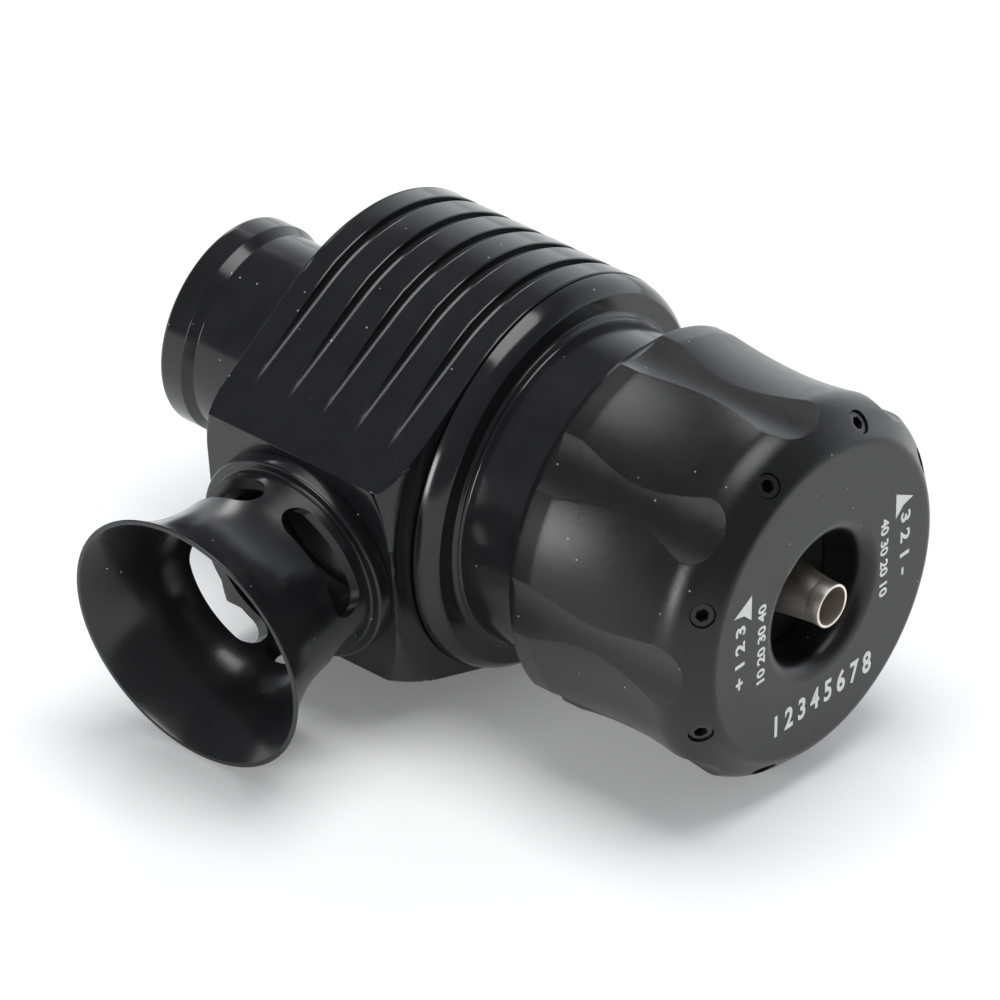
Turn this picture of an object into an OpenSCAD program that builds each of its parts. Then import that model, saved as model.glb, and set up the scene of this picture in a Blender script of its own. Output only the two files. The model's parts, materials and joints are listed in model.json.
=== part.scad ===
// Adjustable piston blow off valve with a slotted horn, lying as it comes to rest.
// The main axis runs along X, from the hose inlet at -X to the adjuster knob at +X.
// The origin is on that axis, in the middle of the hose bead's land. Sizes are millimetres.

/* [Inlet spigot] */
// Outside diameter of the hose tube
inlet_d = 25; // [22:0.5:28]
// Wall of the hose tube
inlet_wall = 2; // [1.5:0.1:3]
// Height of the hose bead over the tube
bead_h = 0.75; // [0.4:0.05:1.5]
// Length of the bead's straight land
bead_land = 2.8; // [1:0.1:4]
// Radius of the bead's rounded nose
bead_nose = 0.8; // [0.6:0.1:2]
// Length of the cone behind the bead
bead_ramp = 1.3; // [0.8:0.1:4]
// Length of the spigot from its mouth to the block
spigot_len = 21.15; // [14:0.05:35]
// How far the spigot's thread in the block steps in from its tube
spigot_step = 0.8; // [0.4:0.1:1.2]
// Length of that thread
spigot_thread_len = 3; // [2:0.1:3.4]

/* [Block] */
// Diameter of the round body
body_d = 50; // [48:0.5:58]
// Length of the block along the main axis
block_len = 28.1; // [27.2:0.1:40]
// Distance of the flat port face from the main axis
port_face_dist = 28; // [27:0.1:34]
// Height of the flat port face
port_face_h = 28.6; // [27.5:0.1:34]
// Diameter of the flat turned on the block's back
back_flat_d = 57.6; // [54:0.2:60]
// Diameter of the flat turned on the block's front
front_flat_d = 54.4; // [52:0.2:60]
// Radius of the turned corners outside those flats
corner_r = 5; // [4.8:0.1:12]
// Number of grooves round the block
groove_count = 5; // [3:1:5]
// Width of a groove
groove_w = 1.4; // [0.8:0.1:2]
// Depth of a groove in the round body
groove_depth = 1.2; // [0.6:0.1:2]
// Distance between grooves
groove_pitch = 5.1; // [3:0.1:5.2]
// Distance of a groove's run-out from the main axis, towards the port face
groove_runout = 22.8; // [20:0.1:25]
// Wall between the block's back and the valve seat
seat_wall = 4.2; // [4:0.1:5]
// Diameter of the drilled side port
port_d = 17.6; // [14:0.2:18]

/* [Barrel] */
// Bore of the piston cylinder, through the block and the barrel
cylinder_d = 32; // [30:0.5:32.5]
// Wall of the barrel under its thread
thread_wall = 3.4; // [2.5:0.1:3.8]
// Length of the barrel's thread in the block
thread_len = 4.2; // [3:0.1:4.6]
// Length of the barrel's rounded flange
flange_len = 2.95; // [2.4:0.05:6]
// How far the flange's edge stays inside the round body
flange_step = 0.1; // [0:0.05:0.3]
// Width of the seam between the block and the flange
seam_w = 0.25; // [0.1:0.05:0.6]
// Depth of that seam
seam_depth = 0.5; // [0.2:0.1:1]
// How far the flange's shoulder falls along its length
shoulder_drop = 1.6; // [0.8:0.1:2]
// Radius of the shoulder's bulge
shoulder_r = 10; // [5:0.5:20]
// Radius of the fillet between the flange and the neck
neck_fillet = 0.9; // [0.3:0.1:1.2]
// Wall of the barrel's neck
neck_wall = 4.4; // [4:0.1:4.8]

/* [Adjuster knob] */
// Gap between the flange and the knob's skirt at rest
knob_gap = 9.3; // [6:0.1:14]
// Length of the knob
knob_len = 29.1; // [28:0.1:36]
// Wall of the knob at its waist
knob_wall = 2.45; // [2:0.05:4]
// Depth of the waist below the skirt
waist_dip = 0.8; // [0.4:0.05:1.2]
// Distance of the waist from the skirt's edge
waist_pos = 13.2; // [12:0.1:14]
// Height of the chamfer on the skirt's edge
skirt_chamfer_h = 1.8; // [0.5:0.1:2.4]
// Length of that chamfer
skirt_chamfer_len = 1.7; // [0.5:0.1:3]
// Height of the front lip over the waist
lip_rise = 1; // [0.8:0.1:2]
// Radius of the front lip
lip_r = 4.5; // [3:0.1:5.5]
// Distance of the lip behind the knob's face
lip_setback = 5.6; // [5:0.1:7]
// Radius of the rounding between the front cone and the face
face_round = 1.5; // [0.5:0.1:2.5]
// Thickness of the knob's end wall
end_wall = 6.8; // [6:0.1:9]
// Diameter of the recess in the knob's face
recess_d = 16.4; // [14:0.2:20]
// Radius of the recess's rounded edge
recess_r = 2.2; // [0.5:0.1:3]
// Number of finger flutes, and of the screws between them
flute_count = 8; // [6:1:9]
// Radius of the cutter that makes a flute
flute_r = 9.7; // [7:0.1:12]
// Depth of a flute below the waist
flute_cut = 0.25; // [0.2:0.05:0.8]
// Angle of the first screw, seen from the knob's face
screw_angle = 17; // [0:1:45]
// Distance of the screws behind the knob's face
screw_setback = 1.7; // [1.4:0.1:2.2]
// Diameter of the knob's screws
screw_d = 3; // [2:0.1:3.4]
// Length of the knob's screws
screw_len = 4; // [2.5:0.1:4.4]
// Hexagon socket of the knob's screws, across flats
socket_af = 1.5; // [1:0.1:1.8]
// Pitch of the adjuster thread
adjuster_pitch = 2; // [1:0.25:2.5]
// Turns inward from rest, which stiffen the spring
turns_in = 2; // [1:0.5:2]
// Turns outward from rest, which soften it
turns_out = 1.5; // [0.5:0.5:1.5]
// Room left behind the knob's end wall when it is screwed in
knob_room = 1.7; // [1.2:0.1:3]

/* [Preload carrier] */
// Length of the carrier
carrier_len = 14.6; // [13.5:0.1:17]
// Depth of the carrier's spring pocket
carrier_pocket = 10; // [8:0.1:11]
// Diameter of the spring pocket
pocket_d = 24; // [23.4:0.1:24.4]
// Thickness of the thrust washer under the knob's end wall
thrust_t = 1; // [0.6:0.1:1.5]
// Height of the boss that shows in the knob's recess
boss_h = 1.5; // [1.2:0.1:3]
// Gap between the boss and the recess
boss_gap = 0.3; // [0.2:0.05:0.6]
// Gap that the carrier keeps to what stops it
carrier_gap = 0.3; // [0.2:0.05:0.6]
// Diameter of the anti-rotation pin
pin_d = 2; // [1.6:0.1:2.2]
// How far that pin stands into the bore
pin_reach = 1.5; // [1:0.1:2]
// How far it ends below the barrel's neck
pin_sink = 0.2; // [0.1:0.05:0.5]

/* [Piston and spring] */
// Opening stroke of the piston
stroke = 10; // [6:0.5:12]
// Wall of the piston's skirt
piston_wall = 3; // [2.6:0.1:3.2]
// Thickness of the piston's head
piston_head = 4.6; // [4.2:0.1:7]
// Diameter of the seat seal
seat_seal_d = 27; // [25:0.5:28]
// Thickness of the seat seal
seat_seal_t = 2; // [1.4:0.1:2.4]
// How far the seat seal stands out of the piston
seal_proud = 0.5; // [0.3:0.1:0.8]
// Diameter of the plate that clamps the seat seal
seal_plate_d = 17; // [14:0.5:19]
// Thickness of that plate
seal_plate_t = 1.2; // [0.8:0.1:2]
// Shank diameter of the plate's screw
plate_screw_d = 4; // [3:0.5:5]
// Head diameter of that screw
plate_screw_head_d = 7; // [6.5:0.1:9]
// Head height of that screw
plate_screw_head_h = 2.2; // [2:0.1:3]
// Gap between the open piston and the stop ring
stop_gap = 0.2; // [0.1:0.05:0.5]
// Thickness of the stop ring
stop_ring_t = 1.2; // [0.8:0.1:1.6]
// How far the stop ring stands into the bore
stop_ring_in = 1.5; // [1:0.1:2]
// How deep the stop ring sits in its groove
stop_ring_out = 0.9; // [0.5:0.1:1.2]
// Radial play of the spring in its pocket
spring_play = 0.6; // [0.4:0.1:1]
// Diameter of the spring's wire
wire_d = 1.8; // [1.2:0.1:2]
// Turns of the spring
spring_turns = 8; // [6:1:10]
// Thickness of the spring seat washer
spring_seat_t = 1; // [0.6:0.1:1.5]

/* [Horn] */
// Length of the horn from the port face to its mouth
horn_len = 21; // [18:0.1:30]
// Diameter of the horn's mouth
mouth_d = 34; // [30:0.2:38]
// Thickness of the horn's lip at the mouth
lip_t = 0.7; // [0.6:0.1:1.4]
// Diameter of the horn's neck
horn_neck_d = 24.4; // [23.6:0.1:26]
// Wall of the horn's neck
horn_wall = 1.5; // [1.2:0.1:2]
// Straight length of the neck before the flare
horn_straight = 7.5; // [6.5:0.1:10]
// Diameter of the ring at the horn's base
horn_ring_d = 27; // [26.6:0.1:28]
// Thickness of that ring
horn_ring_t = 2.1; // [1:0.1:2.4]
// Diameter of the horn's thread in the block
horn_thread_d = 22.4; // [21:0.1:22.8]
// Length of that thread
horn_thread_len = 7; // [5:0.1:7.4]
// Bore of the horn's thread
horn_bore_d = 19.2; // [17:0.1:19.8]
// Number of slots round the neck
slot_count = 4; // [3:1:4]
// Length of a slot, straight across its ends
slot_len = 14.5; // [8:0.1:15]
// Width of a slot
slot_w = 4.4; // [3:0.1:5]
// Distance of the slots from the port face
slot_pos = 6; // [5.6:0.1:8]
// Angle of the first slot round the horn
slot_angle = 37; // [0:1:89]

/* [Vacuum nipple] */
// Outside diameter of the nipple's tip
nipple_d = 5.5; // [4.5:0.1:6.5]
// Bore of the nipple
nipple_bore_d = 4.8; // [3:0.1:4.9]
// Length of the tip's straight land
nipple_land = 2; // [1:0.1:3]
// Diameter of the nipple's stem
stem_d = 5.8; // [5.6:0.1:6.2]
// Diameter of the nipple's taper where it sits on the boss
taper_d = 6.8; // [6.4:0.1:8]
// Height of that taper's straight foot
taper_foot = 0.8; // [0.4:0.1:1.5]
// Height of the tip over the knob's face
nipple_proud = 1.4; // [0:0.1:4]
// How far the nipple's stem stays above the carrier's pocket
stem_bed = 1; // [0.6:0.1:2]

/* [Seals and fits] */
// Cord diameter of the static seals
cord_d = 1.4; // [1:0.1:1.5]
// Cord diameter of the sliding seals
slide_cord_d = 2; // [1.4:0.1:2]
// Width of the piston's guide ring
guide_ring_w = 2.4; // [1.6:0.1:3]
// Depth of that ring
guide_ring_depth = 1.2; // [0.8:0.1:1.6]
// Land between the guide ring and the piston's rim, and between it and the seal
ring_land = 1; // [0.6:0.1:1.4]
// Radial clearance of pieces that slide or turn
run_clear = 0.05; // [0.02:0.01:0.08]
// Radial clearance of pieces that are fixed together
fit_clear = 0.05; // [0.02:0.01:0.1]
// Break on sharp turned edges
edge_break = 0.3; // [0.1:0.05:0.4]

/* [Hidden] */
$fn = 96;

// Facets in a quarter turn of a profile's rounding
quarter = 8;
// Length by which a cutter passes the face that it cuts
past = 1;
// How far a flank starts inside the round that it leaves, so that the two cross cleanly
flank_sink = 0.02;

// Radii
inlet_r = inlet_d / 2;
bead_r = inlet_r + bead_h;
inlet_bore_r = inlet_r - inlet_wall;
spigot_thread_r = inlet_r - spigot_step;
body_r = body_d / 2;
flange_r = body_r - flange_step;
cylinder_r = cylinder_d / 2;
thread_r = cylinder_r + thread_wall;
neck_r = cylinder_r + neck_wall;
knob_bore_r = neck_r + run_clear;
slide_r = cylinder_r - run_clear;
horn_neck_r = horn_neck_d / 2;
horn_thread_r = horn_thread_d / 2;
mouth_r = mouth_d / 2;
screw_r = screw_d / 2;
pin_r = pin_d / 2;
pin_tip_r = cylinder_r - pin_reach;
plate_shank_r = plate_screw_d / 2;
boss_r = recess_d / 2 - boss_gap;
spring_r = (pocket_d - wire_d) / 2 - spring_play;
seal_groove_w = 1.2 * slide_cord_d;

// Stations along the main axis, from the middle of the bead's land
spigot_end = -(bead_land / 2 + bead_nose);
block_back = spigot_end + spigot_len;
block_front = block_back + block_len;
seat = block_back + seat_wall;
port_axis = block_back + block_len / 2;
flange_front = block_front + flange_len;
skirt_edge = flange_front + knob_gap;
knob_face = skirt_edge + knob_len;
ceiling = knob_face - end_wall;
travel_in = turns_in * adjuster_pitch;
travel_out = turns_out * adjuster_pitch;
barrel_end = ceiling - travel_in - knob_room;
carrier_front = ceiling - run_clear - thrust_t;
carrier_back = carrier_front - carrier_len;
pocket_floor = carrier_back + carrier_pocket;
stop_front = carrier_back - travel_in - carrier_gap;
stop_back = stop_front - stop_ring_t;
piston_back = stop_back - stop_gap - stroke;
seat_seal_front = seat + run_clear;
piston_front = seat_seal_front + seal_proud;
piston_head_back = piston_front + piston_head;
guide_ring_back = piston_back - ring_land - guide_ring_w;
piston_seal_at = guide_ring_back - ring_land - seal_groove_w / 2;
seal_plate_back = seat_seal_front - seal_plate_t;
spring_back = piston_head_back + run_clear;
spring_front = pocket_floor - spring_seat_t - run_clear;
nipple_tip = knob_face + nipple_proud;
boss_front = carrier_front + boss_h;
nipple_root = pocket_floor + stem_bed;
carrier_seal_at = carrier_back + edge_break + seal_groove_w;
guide_pin_at = barrel_end - pin_d - edge_break;

// Rise of the spring's wire, and its pitch between the closed end turns
spring_rise = spring_front - spring_back - wire_d;
spring_pitch = (spring_rise - 2 * wire_d) / (spring_turns - 2);

// Sweep of the knob's waist and lip
waist_r = knob_bore_r + knob_wall;
skirt_r = waist_r + waist_dip;
lip_centre = [waist_r + lip_rise - lip_r, knob_face - lip_setback];
waist_at = skirt_edge + waist_pos;
lip_gap = lip_centre.y - waist_at;
lip_drop = waist_r - lip_centre.x;
waist_bend = (lip_gap * lip_gap + lip_drop * lip_drop - lip_r * lip_r) / (2 * lip_rise);
waist_centre = [waist_r + waist_bend, waist_at];
lip_end = lip_centre + lip_r * [cos(45), sin(45)];
face_r = lip_end.x - (knob_face - lip_end.y);
screw_at = [face_r + screw_setback, knob_face - screw_setback];

// Roll about the main axis at which the round body and the horn's rim meet one floor
horn_reach = port_face_dist + horn_len;
rest_roll = asin(body_r / norm([horn_reach, mouth_r])) - atan(mouth_r / horn_reach);

// Points of an arc about a centre, from one angle to another
function arc(centre, r, from, to) =
    let (steps = max(2, ceil(abs(to - from) / 90 * quarter)))
    [for (i = [0 : steps])
        let (a = from + (to - from) * i / steps)
        centre + r * [cos(a), sin(a)]];

// Points of an arc that bulges outwards from one point of a profile to the next
function bulge(a, b, r) =
    let (chord = b - a, side = [-chord.y, chord.x] / norm(chord),
        centre = (a + b) / 2 + side * sqrt(r * r - chord * chord / 4))
    arc(centre, r, atan2(a.y - centre.y, a.x - centre.x), atan2(b.y - centre.y, b.x - centre.x));

// Angle at which a line from a point touches a circle about the origin
function tangent_angle(point, r) = atan2(point.y, point.x) - acos(r / norm(point));

// Where such a line leaves the circle
function flank_root(angle, r) = (r - flank_sink) * [cos(angle), sin(angle)];

// Lays the bench frame, with the main axis upright and the horn at -X, on its side
module lie() {
    rotate([rest_roll, 0, 0]) rotate([90, 0, 90]) children();
}

// Turns the horn's own axis from the bench frame's Z to its side
module to_horn() {
    translate([0, 0, port_axis]) rotate([0, -90, 0]) children();
}

module turned(points) {
    rotate_extrude() polygon(points);
}

module tube(r, bore_r, from, to) {
    turned([[bore_r, from], [r, from], [r, to], [bore_r, to]]);
}

module bore(r, from, to) {
    translate([0, 0, from]) cylinder(r = r, h = to - from);
}

// Rubber cord ring with its inner side at a radius
module cord_ring(inner_r, cord, at) {
    translate([0, 0, at]) rotate_extrude() translate([inner_r + cord / 2, 0]) circle(d = cord, $fn = 32);
}

// Stock of the block: the round body, and flanks that touch it and end at the port face
module block_stock() {
    corner = [-port_face_dist, port_face_h / 2];
    touch = tangent_angle(corner, body_r);
    bore(body_r, block_back, block_front);
    translate([0, 0, block_back]) linear_extrude(block_len)
        polygon([corner, flank_root(touch, body_r), [0, 0], flank_root(-touch, body_r), [corner.x, -corner.y]]);
}

// Ground left inside a groove: a smaller circle whose flanks run out through the block's own
module groove_floor() {
    corner = [-port_face_dist, port_face_h / 2];
    touch = tangent_angle(corner, body_r);
    floor_r = body_r - groove_depth;
    runout = [-groove_runout, (body_r + groove_runout * cos(touch)) / sin(touch)];
    floor_touch = tangent_angle(runout, floor_r);
    far = 2 * port_face_dist;
    circle(r = floor_r);
    polygon([runout, flank_root(floor_touch, floor_r), [0, 0], flank_root(-floor_touch, floor_r),
        [runout.x, -runout.y], [-far, -far], [-far, far]]);
}

module grooves() {
    for (i = [0 : groove_count - 1])
        translate([0, 0, port_axis + (i - (groove_count - 1) / 2) * groove_pitch - groove_w / 2])
            linear_extrude(groove_w) difference() {
                circle(r = 2 * port_face_dist);
                groove_floor();
            }
}

// Round-ended blank from which the block's corners are turned
module block_blank() {
    turned(concat([[0, block_back]],
        arc([back_flat_d / 2, block_back + corner_r], corner_r, -90, 0),
        arc([front_flat_d / 2, block_front - corner_r], corner_r, 0, 90),
        [[0, block_front]]));
}

module valve_body() {
    color([0.05, 0.05, 0.055]) lie() difference() {
        intersection() {
            block_stock();
            block_blank();
        }
        grooves();
        bore(inlet_bore_r, block_back - past, seat + past);
        bore(spigot_thread_r + fit_clear, block_back - past, block_back + spigot_thread_len + fit_clear);
        bore(cylinder_r, seat, block_front + past);
        bore(thread_r + fit_clear, block_front - thread_len - fit_clear, block_front + past);
        bore(thread_r + cord_d + 2 * fit_clear, block_front - cord_d, block_front + past);
        to_horn() {
            bore(port_d / 2, 0, port_face_dist + past);
            bore(horn_thread_r + fit_clear, port_face_dist - horn_thread_len - fit_clear, port_face_dist + past);
            bore(horn_thread_r + cord_d + 2 * fit_clear, port_face_dist - cord_d, port_face_dist + past);
        }
    }
}

module hose_spigot() {
    thread_end = block_back + spigot_thread_len;
    color([0.05, 0.05, 0.055]) lie() turned(concat(
        [[inlet_bore_r, spigot_end + edge_break], [inlet_bore_r + edge_break, spigot_end]],
        arc([bead_r - bead_nose, spigot_end + bead_nose], bead_nose, -90, 0),
        [[bead_r, bead_land / 2], [inlet_r, bead_land / 2 + bead_ramp], [inlet_r, block_back],
            [spigot_thread_r, block_back], [spigot_thread_r, thread_end], [inlet_bore_r, thread_end]]));
}

module barrel() {
    stop_groove_r = cylinder_r + stop_ring_out + fit_clear;
    color([0.05, 0.05, 0.055]) lie() difference() {
        turned(concat(
            [[cylinder_r, block_front - thread_len], [thread_r, block_front - thread_len],
                [thread_r, block_front], [flange_r - seam_depth, block_front],
                [flange_r - seam_depth, block_front + seam_w]],
            bulge([flange_r, block_front + seam_w], [flange_r - shoulder_drop, flange_front], shoulder_r),
            arc([neck_r + neck_fillet, flange_front + neck_fillet], neck_fillet, 270, 180),
            [[neck_r, barrel_end - edge_break], [neck_r - edge_break, barrel_end],
                [cylinder_r + edge_break, barrel_end], [cylinder_r, barrel_end - edge_break],
                [cylinder_r, stop_front + fit_clear], [stop_groove_r, stop_front + fit_clear],
                [stop_groove_r, stop_back - fit_clear], [cylinder_r, stop_back - fit_clear]]));
        guide_pin_place() cylinder(r = pin_r + fit_clear, h = neck_wall + 2 * past);
    }
}

module barrel_seal() {
    color([0.09, 0.09, 0.09]) lie() cord_ring(thread_r + fit_clear, cord_d, block_front - cord_d / 2);
}

// Flare of the horn: an arc that leaves the neck straight and reaches the mouth
function flare(neck_r, rim_r) =
    let (start = port_face_dist + horn_straight, run = horn_len - horn_straight, rise = rim_r - neck_r,
        bend = (run * run + rise * rise) / (2 * rise))
    arc([neck_r + bend, start], bend, 180, 180 - asin(run / bend));

function reversed(list) = [for (i = [len(list) - 1 : -1 : 0]) list[i]];

module horn_slot() {
    half = (slot_len - slot_w) / 2;
    linear_extrude(mouth_r) {
        square([slot_w, 2 * half], center = true);
        for (side = [-1, 1])
            translate([0, side * half]) circle(d = slot_w);
    }
}

module horn() {
    ring_r = horn_ring_d / 2;
    ring_front = port_face_dist + horn_ring_t;
    throat_r = horn_neck_r - horn_wall;
    bore_r = horn_bore_d / 2;
    color([0.05, 0.05, 0.055]) lie() to_horn() difference() {
        turned(concat(
            [[bore_r, port_face_dist - horn_thread_len], [horn_thread_r, port_face_dist - horn_thread_len],
                [horn_thread_r, port_face_dist], [ring_r, port_face_dist],
                [ring_r, ring_front - edge_break], [ring_r - edge_break, ring_front]],
            arc([horn_neck_r + edge_break, ring_front + edge_break], edge_break, 270, 180),
            flare(horn_neck_r, mouth_r),
            reversed(flare(throat_r, mouth_r - lip_t)),
            [[throat_r, ring_front + throat_r - bore_r], [bore_r, ring_front]]));
        for (i = [0 : slot_count - 1])
            rotate(slot_angle + i * 360 / slot_count)
                translate([0, 0, port_face_dist + slot_pos]) rotate([0, 90, 0]) horn_slot();
    }
}

module horn_seal() {
    color([0.09, 0.09, 0.09]) lie() to_horn()
        cord_ring(horn_thread_r + fit_clear, cord_d, port_face_dist - cord_d / 2);
}

module stop_ring() {
    inner_r = cylinder_r - stop_ring_in;
    outer_r = cylinder_r + stop_ring_out;
    gap = 4 * stop_ring_in;
    color([0.45, 0.45, 0.47]) lie() difference() {
        tube(outer_r, inner_r, stop_back, stop_front);
        translate([0, -gap / 2, stop_back - past]) cube([outer_r + past, gap, stop_ring_t + 2 * past]);
    }
}

// Place of the anti-rotation pin: across the barrel's wall, pointing outwards from the bore
module guide_pin_place() {
    translate([0, 0, guide_pin_at]) rotate([0, 90, 0]) translate([0, 0, pin_tip_r]) children();
}

module guide_pin() {
    color([0.6, 0.6, 0.62]) lie() guide_pin_place() cylinder(r = pin_r, h = neck_r - pin_sink - pin_tip_r);
}

// Groove for a sliding seal or ring, cut into a piston
module ring_groove(floor_r, from, width) {
    tube(cylinder_r + past, floor_r, from, from + width);
}

module piston() {
    cavity_r = slide_r - piston_wall;
    hole_r = plate_shank_r + fit_clear;
    color([0.62, 0.62, 0.64]) lie() difference() {
        turned([[hole_r, piston_front], [slide_r - edge_break, piston_front],
            [slide_r, piston_front + edge_break], [slide_r, piston_back - edge_break],
            [slide_r - edge_break, piston_back], [cavity_r, piston_back], [cavity_r, piston_head_back],
            [hole_r, piston_head_back]]);
        bore(seat_seal_d / 2 + fit_clear, piston_front - past, seat_seal_front + seat_seal_t + fit_clear);
        ring_groove(slide_r - slide_cord_d - fit_clear, piston_seal_at - seal_groove_w / 2, seal_groove_w);
        ring_groove(slide_r - guide_ring_depth, guide_ring_back - fit_clear, guide_ring_w + 2 * fit_clear);
    }
}

module piston_seal() {
    color([0.09, 0.09, 0.09]) lie() cord_ring(slide_r - slide_cord_d, slide_cord_d, piston_seal_at);
}

module guide_ring() {
    color([0.85, 0.83, 0.78]) lie() tube(slide_r, slide_r - guide_ring_depth + fit_clear,
        guide_ring_back, guide_ring_back + guide_ring_w);
}

module seat_seal() {
    color([0.12, 0.12, 0.12]) lie() tube(seat_seal_d / 2, plate_shank_r + fit_clear,
        seat_seal_front, seat_seal_front + seat_seal_t);
}

module seal_retainer() {
    plate_r = seal_plate_d / 2;
    hole_r = plate_shank_r + fit_clear;
    color([0.7, 0.7, 0.72]) lie() turned([[hole_r, seal_plate_back], [plate_r - edge_break, seal_plate_back],
        [plate_r, seal_plate_back + edge_break], [plate_r, seat_seal_front], [hole_r, seat_seal_front]]);
}

module retainer_screw() {
    head_r = plate_screw_head_d / 2;
    head_back = seal_plate_back - plate_screw_head_h;
    socket_r = 0.85 * plate_shank_r;
    socket_depth = 0.6 * plate_screw_head_h;
    color([0.35, 0.35, 0.37]) lie() difference() {
        turned([[0, head_back], [head_r - edge_break, head_back], [head_r, head_back + edge_break],
            [head_r, seal_plate_back], [plate_shank_r, seal_plate_back],
            [plate_shank_r, piston_head_back], [0, piston_head_back]]);
        translate([0, 0, head_back - past]) cylinder(r = socket_r, h = socket_depth + past, $fn = 6);
    }
}

// Height of the spring's wire after some turns: closed end turns, even pitch between them
function wire_height(turn) =
    turn < 1 ? turn * wire_d :
    turn > spring_turns - 1 ? spring_rise - (spring_turns - turn) * wire_d :
    wire_d + (turn - 1) * spring_pitch;

module main_spring() {
    sides = 8;
    steps = 20 * spring_turns;
    rings = [for (i = [0 : steps])
        let (turn = i * spring_turns / steps)
        [for (k = [0 : sides - 1])
            let (a = 360 * k / sides, r = spring_r + wire_d / 2 * cos(a))
            [r * cos(360 * turn), r * sin(360 * turn),
                spring_back + wire_d / 2 + wire_height(turn) + wire_d / 2 * sin(a)]]];
    walls = [for (i = [0 : steps - 1], k = [0 : sides - 1])
        let (a = i * sides + k, b = i * sides + (k + 1) % sides)
        each [[a, a + sides, b + sides], [a, b + sides, b]]];
    first = [for (k = [0 : sides - 1]) k];
    last = [for (k = [sides - 1 : -1 : 0]) steps * sides + k];
    color([0.55, 0.56, 0.58]) lie()
        polyhedron([for (ring = rings) each ring], concat(walls, [first, last]));
}

module spring_seat() {
    color([0.7, 0.7, 0.72]) lie() tube(pocket_d / 2 - fit_clear, spring_r - 2 * wire_d,
        pocket_floor - spring_seat_t, pocket_floor);
}

module preload_carrier() {
    slot_from = guide_pin_at - travel_out - pin_r - carrier_gap;
    slot_w = pin_d + 4 * run_clear;
    color([0.16, 0.16, 0.17]) lie() difference() {
        turned([[0, pocket_floor], [pocket_d / 2, pocket_floor], [pocket_d / 2, carrier_back],
            [slide_r - edge_break, carrier_back], [slide_r, carrier_back + edge_break],
            [slide_r, carrier_front], [boss_r, carrier_front], [boss_r, boss_front], [0, boss_front]]);
        ring_groove(slide_r - slide_cord_d - fit_clear, carrier_seal_at - seal_groove_w / 2, seal_groove_w);
        translate([pin_tip_r - carrier_gap, -slot_w / 2, slot_from])
            cube([cylinder_r, slot_w, carrier_front - slot_from + past]);
        bore(stem_d / 2 + fit_clear, nipple_root, boss_front + past);
        bore(nipple_bore_d / 2, pocket_floor - past, nipple_root + past);
    }
}

module carrier_seal() {
    color([0.09, 0.09, 0.09]) lie() cord_ring(slide_r - slide_cord_d, slide_cord_d, carrier_seal_at);
}

module vacuum_nipple() {
    bore_r = nipple_bore_d / 2;
    tip_r = nipple_d / 2;
    color([0.78, 0.76, 0.73]) lie() turned([[bore_r, nipple_root], [stem_d / 2, nipple_root],
        [stem_d / 2, boss_front], [taper_d / 2, boss_front], [taper_d / 2, boss_front + taper_foot],
        [tip_r, nipple_tip - nipple_land], [tip_r, nipple_tip], [bore_r, nipple_tip]]);
}

module thrust_washer() {
    color([0.75, 0.6, 0.35]) lie() tube(slide_r - edge_break, boss_r + fit_clear,
        carrier_front, carrier_front + thrust_t);
}

// Profile of the knob: skirt, waist and lip in one sweep, a cone to the face, and the recess
module knob_blank() {
    skirt_turn = acos((waist_bend - waist_dip) / waist_bend);
    lip_turn = atan2(lip_gap, waist_bend + lip_drop);
    hole_r = recess_d / 2;
    turned(concat(
        [[knob_bore_r, skirt_edge], [skirt_r - skirt_chamfer_h, skirt_edge],
            [skirt_r, skirt_edge + skirt_chamfer_len]],
        arc(waist_centre, waist_bend, 180 + skirt_turn, 180 - lip_turn),
        arc(lip_centre, lip_r, -lip_turn, 45),
        arc([face_r - face_round * tan(22.5), knob_face - face_round], face_round, 45, 90),
        arc([hole_r + recess_r, knob_face - recess_r], recess_r, 90, 180),
        [[hole_r, ceiling], [knob_bore_r, ceiling]]));
}

// Repeats a screw round the knob, normal to the cone behind the face
module screw_places() {
    for (i = [0 : flute_count - 1])
        rotate(screw_angle + i * 360 / flute_count)
            translate([screw_at.x, 0, screw_at.y]) rotate([0, 45, 0]) children();
}

module adjuster_knob() {
    flute_centre_r = waist_r - flute_cut + flute_r;
    color([0.07, 0.07, 0.075]) lie() difference() {
        knob_blank();
        for (i = [0 : flute_count - 1])
            rotate(screw_angle + (i + 0.5) * 360 / flute_count)
                translate([flute_centre_r, 0, 0]) bore(flute_r, skirt_edge - past, knob_face);
        screw_places() bore(screw_r + fit_clear, -screw_len - fit_clear, past);
    }
}

module knob_screws() {
    head_sink = edge_break;
    color([0.04, 0.04, 0.045]) lie() screw_places() difference() {
        bore(screw_r, -screw_len, -head_sink);
        translate([0, 0, -screw_len / 2]) cylinder(d = socket_af / cos(30), h = screw_len, $fn = 6);
    }
}

valve_body();
hose_spigot();
barrel();
barrel_seal();
horn();
horn_seal();
stop_ring();
guide_pin();
piston();
piston_seal();
guide_ring();
seat_seal();
seal_retainer();
retainer_screw();
main_spring();
spring_seat();
preload_carrier();
carrier_seal();
vacuum_nipple();
thrust_washer();
adjuster_knob();
knob_screws();
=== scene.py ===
import json
import math

import bpy
from mathutils import Matrix, Vector


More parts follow.
